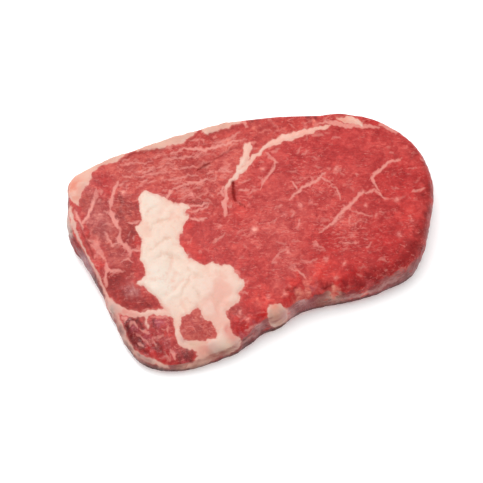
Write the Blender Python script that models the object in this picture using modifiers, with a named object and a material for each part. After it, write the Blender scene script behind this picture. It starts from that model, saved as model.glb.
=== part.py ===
"""A raw boneless rib-eye steak lying on its flat lower cut face, as one closed solid.

Metres, +Z up. The origin is on the resting face, under the middle of the steak's box.
+X runs along the steak's length, towards the round end of the eye muscle, and -Y is
the front edge, where the side wall shows.
"""

import math

import bmesh
import bpy
from mathutils import Vector

MM = 0.001

# Driving sizes
LENGTH = 187 * MM
WIDTH = 129 * MM
THICKNESS = 19 * MM

# Height of the cut face before its swells, and the sizes that the outline is drawn to.
FACE_HEIGHT = 18 * MM
DRAWN_LENGTH = 185 * MM
DRAWN_WIDTH = 129 * MM

# The widest section, seen from above, counter-clockwise from the fat tip at the rear left.
# Each row is x and y as shares of the drawn length and width, counted from the middle,
# then the shoulder, how far the top edge rolls inwards, and the undercut, how far the
# foot is tucked in under the widest section, both in millimetres.
OUTLINE = (
    (-0.452, 0.466, 2.5, 2.0),
    (-0.465, 0.420, 2.5, 2.5),
    (-0.474, 0.378, 3.0, 3.0),
    (-0.491, 0.335, 4.0, 2.5),
    (-0.502, 0.278, 4.5, 2.5),
    (-0.511, 0.206, 4.5, 2.5),
    (-0.509, 0.146, 3.5, 2.5),
    (-0.503, 0.078, 2.5, 3.0),
    (-0.501, -0.020, 2.0, 3.0),
    (-0.497, -0.088, 2.0, 3.0),
    (-0.502, -0.148, 2.0, 3.5),
    (-0.498, -0.192, 2.0, 3.5),
    (-0.501, -0.240, 2.0, 3.5),
    (-0.499, -0.325, 2.0, 3.0),
    (-0.485, -0.393, 2.0, 2.5),
    (-0.456, -0.444, 2.0, 2.0),
    (-0.411, -0.479, 2.5, 1.0),
    (-0.342, -0.501, 3.5, 0.5),
    (-0.257, -0.505, 5.0, 1.0),
    (-0.200, -0.501, 5.0, 1.2),
    (-0.165, -0.476, 3.5, 1.0),
    (-0.122, -0.465, 4.0, 0.6),
    (-0.085, -0.480, 6.0, 1.5),
    (-0.058, -0.458, 5.0, 1.8),
    (-0.030, -0.446, 3.5, 1.2),
    (0.035, -0.460, 4.0, 1.5),
    (0.115, -0.485, 7.0, 1.0),
    (0.205, -0.496, 9.0, 1.5),
    (0.285, -0.490, 7.0, 1.2),
    (0.336, -0.456, 5.0, 2.0),
    (0.374, -0.397, 4.0, 2.0),
    (0.411, -0.329, 4.0, 1.5),
    (0.464, -0.225, 3.5, 2.0),
    (0.496, -0.120, 3.5, 2.0),
    (0.507, -0.040, 3.5, 2.0),
    (0.503, 0.062, 3.5, 2.0),
    (0.477, 0.144, 3.0, 2.0),
    (0.453, 0.203, 2.5, 2.0),
    (0.419, 0.257, 2.5, 2.0),
    (0.372, 0.299, 2.5, 2.0),
    (0.350, 0.327, 2.5, 2.0),
    (0.304, 0.338, 2.5, 2.0),
    (0.246, 0.378, 2.5, 2.0),
    (0.164, 0.422, 2.5, 2.0),
    (0.072, 0.462, 2.5, 2.0),
    (-0.038, 0.487, 2.5, 2.0),
    (-0.160, 0.495, 2.5, 2.0),
    (-0.290, 0.499, 2.5, 2.0),
    (-0.390, 0.490, 2.5, 2.0),
)

# Gentle swells and hollows of the upper cut face: x, y, radius and height, in millimetres.
SWELLS = (
    (42, -6, 46, 1.0),
    (-36, 34, 34, 0.6),
    (-30, -28, 22, 0.5),
    (2, 30, 26, -0.7),
    (-104, -50, 44, -11.0),
    (-72, -76, 26, -4.0),
    (-45, -76, 24, -3.5),
    (-2, -66, 16, -2.0),
    (34, -70, 20, -1.5),
)

# The side wall's sections from the foot to the shoulder: the height as a share of the
# local thickness, and the inset as shares of the local undercut and shoulder.
WALL_SECTIONS = (
    (0.00, 1.00, 0.00),
    (0.20, 0.42, 0.00),
    (0.46, 0.00, 0.00),
    (0.74, 0.00, 0.12),
    (0.91, 0.00, 0.46),
    (0.985, 0.00, 0.95),
    (1.00, 0.00, 1.50),
)

CURVE_STEPS = 12
STATIONS = 72
FOOT_RING_SCALES = (0.42, 0.85)
TOP_RING_SCALES = (0.80, 0.56, 0.30)
SUBDIVISIONS = 1

RAW_BEEF_RED = (0.56, 0.10, 0.09, 1.0)
WET_MEAT_ROUGHNESS = 0.42


def clear_scene():
    for obj in list(bpy.data.objects):
        bpy.data.objects.remove(obj)


def closed_curve(points, steps):
    """Catmull-Rom curve through the rows of points, as finely divided rows."""
    rows = []
    count = len(points)
    for i in range(count):
        p0, p1, p2, p3 = (points[(i + k - 1) % count] for k in range(4))
        for step in range(steps):
            t = step / steps
            rows.append(
                tuple(
                    0.5
                    * (
                        2 * b
                        + (c - a) * t
                        + (2 * a - 5 * b + 4 * c - d) * t**2
                        + (3 * b - a - 3 * c + d) * t**3
                    )
                    for a, b, c, d in zip(p0, p1, p2, p3)
                )
            )
    return rows


def evenly_spaced(rows, count):
    """Picks count rows at equal distances along a finely divided closed curve."""
    lengths = [0.0]
    for a, b in zip(rows, rows[1:] + rows[:1]):
        lengths.append(lengths[-1] + math.hypot(b[0] - a[0], b[1] - a[1]))
    picked = []
    at = 0
    for i in range(count):
        wanted = lengths[-1] * i / count
        while lengths[at + 1] < wanted:
            at += 1
        share = (wanted - lengths[at]) / (lengths[at + 1] - lengths[at])
        a, b = rows[at], rows[(at + 1) % len(rows)]
        picked.append(tuple(p + (q - p) * share for p, q in zip(a, b)))
    return picked


def stations():
    """Even stations round the outline: place, inward direction, shoulder and undercut."""
    rows = [
        (x * DRAWN_LENGTH, y * DRAWN_WIDTH, shoulder * MM, undercut * MM)
        for x, y, shoulder, undercut in OUTLINE
    ]
    even = evenly_spaced(closed_curve(rows, CURVE_STEPS), STATIONS)
    found = []
    for i, (x, y, shoulder, undercut) in enumerate(even):
        before, after = even[i - 1], even[(i + 1) % STATIONS]
        along = Vector((after[0] - before[0], after[1] - before[1])).normalized()
        inward = Vector((-along.y, along.x))
        found.append((Vector((x, y)), inward, shoulder, undercut))
    return found


def top_height(place):
    """Height of the upper cut face over a place in plan."""
    height = FACE_HEIGHT
    for x, y, radius, rise in SWELLS:
        away = (place - Vector((x * MM, y * MM))).length / (radius * MM)
        height += rise * MM * math.exp(-(away**2))
    return height


def wall_ring(mesh, around, height_share, undercut_share, shoulder_share):
    ring = []
    for place, inward, shoulder, undercut in around:
        inset = undercut * undercut_share + shoulder * shoulder_share
        at = place + inward * inset
        ring.append(mesh.verts.new((at.x, at.y, top_height(at) * height_share)))
    return ring


def scaled_ring(mesh, outer, scale, on_top):
    ring = []
    for vert in outer:
        at = vert.co.xy * scale
        ring.append(mesh.verts.new((at.x, at.y, top_height(at) if on_top else 0.0)))
    return ring


def bridge(mesh, lower, upper):
    count = len(lower)
    for i in range(count):
        j = (i + 1) % count
        mesh.faces.new((lower[i], lower[j], upper[j], upper[i]))


def fan(mesh, ring, height, faces_up):
    middle = mesh.verts.new((0.0, 0.0, height))
    count = len(ring)
    for i in range(count):
        j = (i + 1) % count
        corners = (ring[i], ring[j], middle)
        mesh.faces.new(corners if faces_up else corners[::-1])


def steak_cage():
    """The coarse cage: a loft from the flat foot, up the wall and over the shoulder."""
    mesh = bmesh.new()
    around = stations()
    wall = [wall_ring(mesh, around, *section) for section in WALL_SECTIONS]
    foot = [scaled_ring(mesh, wall[0], scale, False) for scale in FOOT_RING_SCALES]
    top = [scaled_ring(mesh, wall[-1], scale, True) for scale in TOP_RING_SCALES]
    rings = foot + wall + top
    for lower, upper in zip(rings, rings[1:]):
        bridge(mesh, lower, upper)
    fan(mesh, rings[0], 0.0, False)
    fan(mesh, rings[-1], top_height(Vector((0.0, 0.0))), True)
    return mesh


def wet_meat_material():
    material = bpy.data.materials.new("raw_beef")
    material.use_nodes = True
    shader = material.node_tree.nodes["Principled BSDF"]
    shader.inputs["Base Color"].default_value = RAW_BEEF_RED
    shader.inputs["Roughness"].default_value = WET_MEAT_ROUGHNESS
    shader.inputs["Metallic"].default_value = 0.0
    return material


def build_steak(collection):
    cage = steak_cage()
    data = bpy.data.meshes.new("steak")
    cage.to_mesh(data)
    cage.free()
    data.shade_smooth()
    data.materials.append(wet_meat_material())
    steak = bpy.data.objects.new("steak", data)
    collection.objects.link(steak)
    smooth = steak.modifiers.new("soft_form", "SUBSURF")
    smooth.levels = SUBDIVISIONS
    smooth.render_levels = SUBDIVISIONS
    return steak


def fit_to_size(steak):
    """Scales the cage so that the smoothed solid has the driving sizes, over the origin."""
    smoothed = steak.evaluated_get(bpy.context.evaluated_depsgraph_get())
    places = [vert.co.copy() for vert in smoothed.to_mesh().vertices]
    smoothed.to_mesh_clear()
    low = Vector(min(place[axis] for place in places) for axis in range(3))
    high = Vector(max(place[axis] for place in places) for axis in range(3))
    foot_middle = Vector(((low.x + high.x) / 2, (low.y + high.y) / 2, low.z))
    wanted = (LENGTH, WIDTH, THICKNESS)
    for vert in steak.data.vertices:
        for axis in range(3):
            share = (vert.co[axis] - foot_middle[axis]) / (high[axis] - low[axis])
            vert.co[axis] = share * wanted[axis]


def main():
    clear_scene()
    collection = bpy.data.collections.new("rib_eye_steak")
    bpy.context.scene.collection.children.link(collection)
    steak = build_steak(collection)
    fit_to_size(steak)


main()
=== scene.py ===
import math

import bmesh
import bpy
import numpy as np
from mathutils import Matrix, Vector
from mathutils.bvhtree import BVHTree


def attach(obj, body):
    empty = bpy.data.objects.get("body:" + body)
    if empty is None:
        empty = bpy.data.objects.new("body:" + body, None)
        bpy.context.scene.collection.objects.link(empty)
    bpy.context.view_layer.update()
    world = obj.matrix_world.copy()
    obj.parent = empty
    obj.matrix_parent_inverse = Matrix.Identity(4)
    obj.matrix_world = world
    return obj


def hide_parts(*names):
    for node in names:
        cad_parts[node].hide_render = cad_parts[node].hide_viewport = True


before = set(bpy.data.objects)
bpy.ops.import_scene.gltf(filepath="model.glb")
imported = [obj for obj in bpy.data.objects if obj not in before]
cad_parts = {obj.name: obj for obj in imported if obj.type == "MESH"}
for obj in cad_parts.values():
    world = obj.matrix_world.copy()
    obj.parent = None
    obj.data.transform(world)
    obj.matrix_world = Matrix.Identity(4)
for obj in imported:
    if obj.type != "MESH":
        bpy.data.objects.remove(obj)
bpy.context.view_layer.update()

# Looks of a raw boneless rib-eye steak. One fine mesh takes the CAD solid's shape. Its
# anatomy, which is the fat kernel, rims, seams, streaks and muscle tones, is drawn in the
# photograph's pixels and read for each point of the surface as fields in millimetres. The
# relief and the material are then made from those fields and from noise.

MM = 0.001

# The photograph's camera: a long lens, looking down on the front left of the steak.
PHOTO_SIDE = 483
VIEW_AZIMUTH = math.radians(-25)
VIEW_ELEVATION = math.radians(55)
LENS_MM = 120
SENSOR_MM = 36
VIEW_DISTANCE = 822 * MM
VIEW_TARGET = Vector((-15.0, -8.7, 9.0)) * MM
PIXELS_PER_MM = 1.96

# Surface: corners of the CAD solid that are closer than this are one, its faces are
# rounded this many times, and the even mesh made of it is smoothed in so many rounds
SAME_CORNER = 0.02 * MM
ROUNDING_LEVELS = 2
MESH_STEP = 0.75 * MM
SMOOTHING_ROUNDS = 4
SMOOTHING_STRENGTH = 0.5

# The underside's pattern: how far it wanders from the upper one's in pixels, and how far
# down a surface faces where the wander sets in and where it is full. Then how squarely a
# surface faces the camera where it begins to take its own pixel and where it does so fully.
UNDERSIDE_WANDER_PX = 5.0
FACING_DOWN = (0.0, 0.7)
FACING_CAMERA = (-0.1, 0.3)

# How much of each side of a drawn outline is cut off at its corners
CORNER_CUT = 0.2

# Light: how bright a white surface comes out, lying level and on the side wall, and the
# gloss that is added to it
LIGHT_ON_LEVEL = 1.60
LIGHT_ON_WALL = 1.50
GLOSS_ADDED = 0.019

# Drawn lines wander as the edges of cut meat do: wavelengths and size of each, in pixels
WOBBLE_WAVES = (5.5, 7.5, 11.0, 17.0)
OUTLINE_WOBBLE = 0.38
STREAK_WOBBLE = 0.36
PATCH_WOBBLE = 1.3
WOBBLE_SEED = 4

# Short marbling streaks strewn over parts of the lean: the part's upper left and lower
# right corners in pixels, how many, the mean heading in degrees and its spread, the
# longest step of a path in pixels, and the greatest strength
MARBLING = (
    ((68, 116), (434, 362), 600, -4, 30, 3.8, 0.55),
    ((112, 138), (250, 202), 120, -15, 9, 5.5, 0.7),
    ((80, 184), (136, 285), 45, -68, 18, 4.5, 0.5),
    ((250, 118), (330, 136), 30, -10, 9, 5.0, 0.5),
)
MARBLING_SEED = 11

# The path of such a streak: its steps, the least share of the longest step, and how much
# of the heading's spread goes into a bend. Then its least and greatest half-width in
# pixels, and its least strength.
MARBLING_STEPS = 3
SHORTEST_STEP = 0.3
BEND_SHARE = 0.55
MARBLING_HALF_WIDTHS = (0.5, 1.1)
FAINTEST_MARBLING = 0.15

# A streak keeps its full half-width this far from its line and is looked for this far
# away, in pixels. Its ends lose these shares of its half-width and of its strength.
STREAK_REACH = 2.5
STREAK_SURROUND = 7.0
STREAK_NARROWING = 0.7
STREAK_FADING = 0.35
GROOVE_NARROWING = 0.5

# Limits of the fields: the depth in fat up to which places are told apart, a distance in
# pixels beyond any in the picture, the darkest linear colour, and how far a surface leans
# where the cut face gives way to the side wall
FAT_LIMIT_MM = 12
FAR_AWAY = 1e9
DARKEST_COLOUR = 0.004
WALL_LEAN = (0.25, 0.62)

# Patterns of noise: scale per metre, detail, roughness and distortion
NOISES = {
    "lobes": (95.0, 2.5, 0.45, 0.5),
    "fine_lumps": (260.0, 2.0, 0.5, 0.2),
    "swell": (65.0, 2.0, 0.5, 0.0),
    "folds": (210.0, 3.0, 0.55, 1.2),
    "wrinkles": (190.0, 3.0, 0.55, 0.8),
    "ragged": (700.0, 3.0, 0.6, 0.6),
    "coarse": (260.0, 2.0, 0.5, 0.3),
    "fibre": (950.0, 3.0, 0.6, 0.8),
    "mottle": (300.0, 4.0, 0.6, 0.8),
    "blotch": (95.0, 3.0, 0.6, 0.6),
    "patches": (120.0, 2.0, 0.5, 0.0),
    "flecks": (680.0, 3.0, 0.6, 1.4),
    "veins": (330.0, 2.0, 0.5, 2.0),
    "threads": (420.0, 4.0, 0.6, 1.4),
    "clouds": (130.0, 3.0, 0.6, 0.8),
    "pink_tan": (330.0, 3.0, 0.6, 0.5),
    "damp": (300.0, 3.0, 0.6, 0.0),
}

# Heights of the relief's parts, in millimetres
RELIEF_SIZES = {
    "Fat Lumps": 0.75,
    "Muscle Swell": 0.9,
    "Wet Folds": 4.5,
    "Wall Wrinkles": 1.6,
    "Edge Groove": 0.12,
}

# Relief: how far from the lobes the swells and fine lumps read their noise, in metres,
# the scaling of the place that makes the wall's wrinkles upright, the fine lumps' share
# of the lobes' height, how near its middle the noise of folds rises, the half-width of
# the groove along a fat edge in millimetres, and the heights above the table between
# which the relief sets in
PATTERN_SHIFT = (0.31, 0.17, 0.05)
WRINKLE_STRETCH = (1.0, 1.0, 0.4)
FINE_LUMP_SHARE = 0.45
FOLD_WIDTH = 0.12
EDGE_GROOVE_WIDTH = 0.55
RELIEF_STARTS = (0.2 * MM, 2.5 * MM)

# How the meat's patterns are drawn out: heading in degrees and stretch of the grain and
# of its fibre, and the stretch of the wall's threads. Then the width of a vein, as a
# share of its noise.
GRAIN = (-24, 2.2)
FIBRE = (-25, 3.5)
WALL_STRETCH = (0.4, 0.4, 1.2)
VEIN_WIDTH = 0.028

# Tints that colours are multiplied by, where a pattern is low and where it is high
BLOTCH_TINTS = ((0.88, 0.58, 0.62), (1.12, 1.28, 1.26))
MOTTLE_TINTS = ((0.86, 0.58, 0.62), (1.15, 1.32, 1.28))
FIBRE_TINTS = ((0.89, 0.72, 0.76), (1.13, 1.26, 1.22))
FOOT_SHADE_TINTS = ((1.0, 1.0, 1.0), (0.26, 0.20, 0.21))

# Painted shade along the foot of the side wall, where it meets the table: the heights
# between which it fades, and how far its upper edge wanders
FOOT_SHADE_HEIGHTS = (0.8 * MM, 7.5 * MM)
FOOT_SHADE_WANDER = 3 * MM

# Surroundings: half the floor's side in metres, the strength of the light from all round,
# and the lamps with their width in metres, watts and place in metres
HALF_FLOOR = 3.0
ROOM_LIGHT = 1.12
LAMPS = (
    ("soft_key", 1.2, 4.6, (-0.12, 0.40, 0.95)),
    ("small_lamp", 0.16, 2.2, (-0.16, 0.55, 0.84)),
)

# Tones of muscle, fat and membrane, in 0 to 255 as the photograph shows them
TONES = {
    "eye_red": (201, 74, 70),
    "eye_pink": (210, 96, 89),
    "upper_red": (195, 62, 61),
    "right_red": (192, 52, 52),
    "low_red": (190, 48, 48),
    "deep_red": (150, 12, 22),
    "bright_red": (230, 70, 62),
    "front_red": (192, 24, 28),
    "shoulder_red": (156, 42, 44),
    "edge_mauve": (194, 104, 108),
    "strip_tan": (228, 142, 124),
    "coral": (240, 132, 114),
    "cap_pink": (195, 82, 74),
    "cap_red": (188, 62, 56),
    "left_pink": (186, 92, 87),
    "left_brown": (170, 62, 54),
    "brown_red": (154, 45, 34),
    "mauve_sheen": (200, 132, 126),
    "corner_red": (174, 58, 58),
    "corner_dark": (84, 4, 22),
    "corner_mauve_and_highlight": (180, 86, 98),
    "pink_and_highlight": (228, 120, 122),
    "island_red": (197, 103, 92),
    "small_dark": (116, 16, 28),
    "dark_spot": (134, 34, 38),
    "wall_mauve": (136, 70, 72),
    "wall_purple": (150, 80, 84),
    "wall_dark": (84, 32, 38),
    "wall_crimson": (112, 22, 38),
    "wall_red": (168, 50, 52),
    "wall_brick": (154, 56, 58),
    "wall_rose": (158, 76, 76),
    "wall_grey": (166, 110, 108),
    "wall_lavender": (180, 132, 138),
    "wall_haze": (218, 164, 160),
    "wall_cream": (214, 164, 146),
    "wall_brown": (150, 98, 84),
    "wall_pale": (214, 184, 172),
    "cream": (250, 220, 202),
    "white_fat": (249, 232, 217),
    "peach": (249, 199, 181),
    "seam_fat": (255, 184, 166),
    "salmon": (238, 138, 114),
    "rim_fat": (228, 172, 154),
    "haze_fat": (204, 152, 148),
    "hazy_rim": (116, 92, 90),
    "pale_rim": (226, 180, 166),
    "foot_tan": (160, 106, 92),
    "pink_fat": (242, 178, 163),
    "blush_fat": (234, 144, 132),
    "grey_fat": (202, 148, 130),
    "tan": (226, 184, 160),
    "mauve_fat": (204, 146, 140),
    "fleck": (244, 150, 138),
    "streak": (242, 156, 144),
    "edge_pink": (226, 120, 108),
    "pink_tan": (244, 184, 164),
    "crease_shade_tan": (222, 176, 152),
    "wall_thread": (200, 150, 144),
    "wall_shade": (92, 34, 42),
    "slit_shade_red": (126, 6, 14),
}

# Fat areas: outlines in the photograph's pixels, clockwise from the top
FAT_KERNEL = (
    (145, 190), (150, 192.5), (159, 195.5), (165, 198.5), (175, 203.5), (185, 203.5),
    (190, 207), (185, 212),
    (190, 217), (184.3, 221.6), (183, 228), (180.5, 234), (179, 240), (181, 246),
    (185.3, 251), (190.5, 258.7), (198, 263.5), (207.5, 264.5), (211.5, 262),
    (221, 265.5), (231, 264.6), (238.5, 276), (246.5, 284.5), (239, 292),
    (240.5, 297.5), (239, 302), (231, 307.4), (224.4, 312.8), (230.4, 320),
    (228.6, 328), (234, 335), (236, 339), (226, 345), (214, 351), (200, 352),
    (190, 348), (182, 347), (178, 338), (177, 326), (172, 317), (162, 309),
    (160.7, 304), (156.4, 298), (149, 292), (144, 287), (136, 283), (136, 281),
    (144, 279), (144.5, 272), (144, 264), (140, 261), (140, 250), (143, 244),
    (139.5, 235), (135, 227), (142, 222), (140.5, 214), (138.5, 206), (140, 201),
    (138.5, 198), (141, 192),
)
REAR_RIM = (
    (62, 182), (74, 172), (100, 156), (120, 148), (140, 141), (160, 134), (180, 128),
    (200, 122), (220, 117), (242, 114), (240, 123), (230, 127), (216, 131), (210, 134),
    (203, 133), (201, 129.5), (196, 131.5), (187, 140), (182, 144), (170, 145),
    (160, 148.5), (140, 150), (128, 152), (121, 158), (116, 163), (103, 164),
    (94, 171), (91, 176), (90, 182), (84, 188), (80, 197), (78, 206), (71, 201),
    (66, 196),
)
CAP_WEDGE = (
    (242, 146), (250, 142), (252, 148), (250, 156), (247, 163), (240, 170),
    (236, 173), (238, 165), (241.5, 157), (244, 150),
)
WALL_FAT_LUMP = (
    (267.5, 310), (270, 305.5), (275, 303), (281, 304), (286, 308.5), (289, 315),
    (287.5, 321), (283, 325.5), (276, 327), (270.5, 325), (267.5, 318),
)
MUSCLE_ISLAND = (
    (197, 307.4), (200, 311), (203, 319.4), (211, 321), (214.8, 328.4), (218.4, 335),
    (211, 339), (201.6, 340.7), (192, 340), (184, 340.4), (181, 336.8), (180.4, 328),
    (181, 320), (184, 315), (189, 314), (193, 311),
)

# Bands of fat: places with half-widths, in pixels
MAIN_SEAM = (
    (331, 125, 1.0), (324, 127, 1.8), (313, 130, 2.3), (302, 133, 3.0),
    (292, 136, 3.5), (283, 138.5, 3.5), (275, 141.5, 2.9), (267, 146, 2.2),
    (259, 152.5, 1.9), (251, 160.5, 1.9), (243, 169, 2.2), (234, 177.5, 2.2),
    (228.5, 184, 1.7), (226, 189, 1.2),
)
REAR_RIGHT_RIM = (
    (337, 119, 1.2), (343, 119, 2.6), (350, 120, 3.4), (356, 121, 3.0), (362, 123.5, 1.6),
)
CORNER_BAND = (
    (106, 298, 1.8), (112, 304, 2.8), (120, 309.5, 3.6), (129, 313, 3.2), (138, 314.5, 3.0),
    (146, 314, 2.6), (153, 312, 2.6), (160, 312, 3.0), (168, 314, 3.2),
)
CORNER_RIM = (
    (70.5, 209, 2.0), (72.5, 218, 2.4), (75, 227, 2.0), (80.5, 242, 1.1), (86.5, 253, 1.2),
    (92, 265, 1.3), (98, 276, 1.4), (103, 287, 1.5), (107, 297, 2.4), (112, 307, 4.0),
    (116, 317, 3.6), (119.5, 325, 3.4), (122.5, 333, 3.3), (125, 340, 3.0), (128.5, 346, 2.9),
    (134, 352, 2.7), (141, 356.5, 2.3), (149, 360, 1.9), (158.5, 363.5, 1.5), (168, 367, 1.2),
)
KERNEL_LEG = ((175, 314, 2.6), (177, 324, 2.8), (178, 334, 3.0), (182, 343, 3.2), (190, 347, 3.2))
CORNER_STREAM = ((146, 315, 1.6), (146, 322, 1.2), (148.5, 328, 0.7))
LOWER_FAT = (
    (184, 343), (200, 345), (216, 342), (232, 336), (241, 337), (241, 344), (236, 350),
    (228, 354), (219, 357), (211, 362), (203, 367), (192, 370), (186, 368), (190, 363),
    (196, 360), (198, 355), (195, 350), (186, 349),
)
FAT_OUTLINES = (FAT_KERNEL, REAR_RIM, CAP_WEDGE, WALL_FAT_LUMP, LOWER_FAT)
FAT_BANDS = (
    MAIN_SEAM, REAR_RIGHT_RIM, CORNER_BAND, CORNER_RIM, KERNEL_LEG, CORNER_STREAM,
)

# Thin streaks of fat, and on the lower left corner painted highlights of wet folds drawn the
# same way: half-width in pixels, strength, and the path. Each row goes to the next of three
# layers in turn, so that two streaks that touch stay apart as fields.
STREAKS = (
    (1.5, 0.9, ((319, 233), (325, 229), (334, 222), (340, 214), (350, 205), (360, 194),
                (371, 191), (379, 189))),
    (1.5, 0.9, ((380, 192), (376, 186), (372, 178), (378, 171), (390, 162), (403, 158))),
    (1.1, 0.8, ((374, 190), (380, 194), (387, 199))),
    (1.2, 0.8, ((266, 152), (271, 157), (277, 162), (272, 171), (264, 180), (260, 190))),
    (1.4, 0.9, ((289, 201), (293, 196), (299, 190), (309, 184.5), (318, 180), (326, 172))),
    (1.0, 0.8, ((297, 191), (295, 186), (291, 180))),
    (1.0, 0.7, ((331, 186), (337, 188), (339, 194), (341, 202))),
    (1.3, 0.9, ((170, 154), (180, 150), (190, 148), (204, 150), (216, 147), (235, 141),
                (247, 139))),
    (0.9, 0.7, ((204, 151), (199, 155), (193, 158))),
    (2.4, 0.5, ((97, 188), (95.5, 195), (93.5, 202))),
    (1.7, 1.0, ((94.5, 196), (92.5, 204), (90.5, 211), (88, 217), (84, 221.5), (81.5, 225))),
    (1.4, 0.95, ((74.5, 209), (77, 215), (79.5, 220), (81.5, 225), (83, 230))),
    (1.8, 0.9, ((119, 181), (116, 187), (112.5, 194), (111, 202), (110, 209))),
    (2.4, 0.95, ((110, 209), (113.5, 217), (117, 225), (121, 231))),
    (1.7, 0.85, ((121, 229), (119.5, 236), (119, 240), (124, 244), (130, 250), (131, 257))),
    (2.2, 0.55, ((89, 240), (94, 243), (99, 249), (104, 256))),
    (1.5, 0.85, ((105, 261), (107, 270), (105, 279), (107, 288))),
    (1.9, 0.95, ((227, 186), (225.5, 191), (226, 197), (224, 203), (225.5, 210), (225.5, 217))),
    (1.2, 0.8, ((227, 187), (223, 189), (221, 193), (224, 197))),
    (2.0, 0.9, ((318, 124), (326, 121.5), (334, 123), (344, 125.5), (356, 126), (368, 126.5),
                (380, 127))),
    (1.7, 0.85, ((378, 123), (385, 126), (391, 129.5), (398, 133))),
    (1.5, 0.75, ((331, 300), (345, 298), (361.6, 294), (372, 290.5), (382.5, 286),
                 (393, 280.5), (404, 275))),
    (1.0, 0.8, ((104, 232), (108, 239), (112, 245), (117, 243), (120, 240))),
    (1.0, 0.7, ((90, 244), (95, 248), (100, 254), (106, 259))),
    (1.1, 0.8, ((105, 258), (107, 268), (110, 271), (117, 270), (124, 272))),
    (1.0, 0.7, ((107, 271), (106, 279), (106, 287))),
    (1.8, 0.9, ((166, 200), (168.5, 195), (172, 190))),
    (1.2, 0.8, ((171, 192), (175, 188), (182, 185), (192, 183), (204, 181), (214, 177))),
    (1.2, 0.8, ((238, 121), (244, 122.5), (247, 128))),
    (1.0, 0.65, ((213, 146), (222, 141), (232, 137), (241, 131))),
    (1.0, 0.6, ((161, 161), (176, 158), (190, 157), (204, 152))),
    (0.9, 0.6, ((163, 180), (176, 179), (188, 176), (199, 175))),
    (0.9, 0.55, ((136, 178), (150, 174), (163, 172), (176, 172))),
    (1.1, 0.85, ((187, 205), (193, 206), (200, 205), (211, 203))),
    (1.0, 0.75, ((187, 212), (195, 211), (204, 208), (211, 204))),
    (1.1, 0.9, ((189, 218.5), (198, 219), (208, 218.5))),
    (1.0, 0.8, ((128, 223), (134, 222.5), (141, 222))),
    (1.0, 0.8, ((128, 252), (134, 250), (142, 251))),
    (0.9, 0.7, ((121, 262), (128, 259), (133, 262))),
    (0.9, 0.7, ((291, 270), (298, 271), (303, 275), (306, 279))),
    (0.9, 0.6, ((351, 210), (358, 212), (366, 215), (373, 215))),
    (0.8, 0.6, ((342, 244), (350, 243), (359, 242))),
    (0.9, 0.6, ((169, 168), (182, 169), (192, 166), (199, 168))),
    (0.9, 0.6, ((120, 165), (131, 163.5), (145, 162.5), (153, 162))),
    (1.0, 0.7, ((411, 192), (418, 190), (425, 188))),
    (1.0, 0.6, ((213, 243), (219, 238), (226, 233))),
    (1.2, 0.7, ((222, 172), (227, 171), (233, 171))),
    (0.9, 0.5, ((260, 189), (254, 191), (247, 195))),
    (0.8, 0.6, ((320, 175), (324, 180), (333, 184))),
    (0.8, 0.6, ((272, 262), (277, 256), (283, 251), (287, 247))),
    (0.8, 0.5, ((302, 263), (310, 262), (318, 259))),
    (0.8, 0.5, ((228, 151), (232, 145), (239, 143))),
    # Painted highlights of the wet folds on the lower left corner, drawn as pale streaks
    (1.7, 0.8, ((122.5, 316.5), (125, 319), (126, 322))),
    (1.4, 0.7, ((129.5, 328), (131, 324), (134, 323), (136.5, 326), (137, 329))),
    (1.5, 0.65, ((139, 329), (144, 331), (150, 334.5))),
    (1.3, 0.55, ((136.5, 334), (141, 337), (146, 341), (151, 346))),
    (1.2, 0.6, ((137, 342), (140, 344), (143.5, 347))),
    (1.2, 0.6, ((167.5, 326), (168, 330), (168.5, 334))),
    (1.7, 0.75, ((171, 350), (174, 354), (175.5, 360))),
    (1.0, 0.5, ((163, 352), (167, 357), (170, 362))),
    (1.3, 0.55, ((155, 339), (160, 336), (165, 335))),
    (1.0, 0.5, ((152, 339), (154, 344), (158, 347))),
    (1.1, 0.6, ((151, 318), (157, 316.5), (165, 317.5), (170, 321))),
    (1.4, 0.3, ((376, 284), (388, 279), (400, 271), (412, 263))),
    (1.0, 0.45, ((310, 304), (318, 300.5), (327, 296))),
    (1.0, 0.6, ((246, 331), (252, 327), (259, 325))),
    (1.0, 0.5, ((240, 345), (250, 338), (262, 331))),
)
STREAK_LAYERS = ("streak_a", "streak_b", "streak_c")

# Small blobs of fat in the lean: place, radius in pixels, and strength
FAT_BLOBS = (
    (336.5, 168.5, 2.2, 0.9), (254, 230, 2.6, 1.0), (249, 204, 2.0, 0.7), (284.5, 215, 2.0, 0.8),
    (300, 205, 2.2, 0.8), (311, 202, 2.0, 0.7), (396.5, 200, 2.2, 0.8), (399.5, 234.5, 2.4, 0.9),
    (192, 195, 3.0, 1.0), (162, 179, 1.8, 0.7), (263, 169, 2.0, 0.6), (326, 259, 2.4, 0.9),
    (245, 317, 1.8, 0.8), (412, 221, 1.8, 0.7), (344, 264, 1.8, 0.8), (240, 312, 1.6, 0.8),
    (366, 205, 1.8, 0.7), (377, 215, 1.8, 0.6), (316, 246, 2.2, 0.7), (288, 251, 2.2, 0.8),
    (268, 297, 2.0, 0.8), (248, 320, 2.4, 0.9), (123, 193, 2.6, 0.8), (100, 215, 2.2, 0.6),
    (96, 243, 3.6, 0.7), (99, 252, 2.4, 0.7), (285, 295, 2.0, 0.7), (336, 278, 2.0, 0.6),
    (219, 226, 1.8, 0.6), (352, 236, 2.0, 0.6), (150, 176, 2.2, 0.5), (207, 191, 2.2, 0.6),
)
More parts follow.
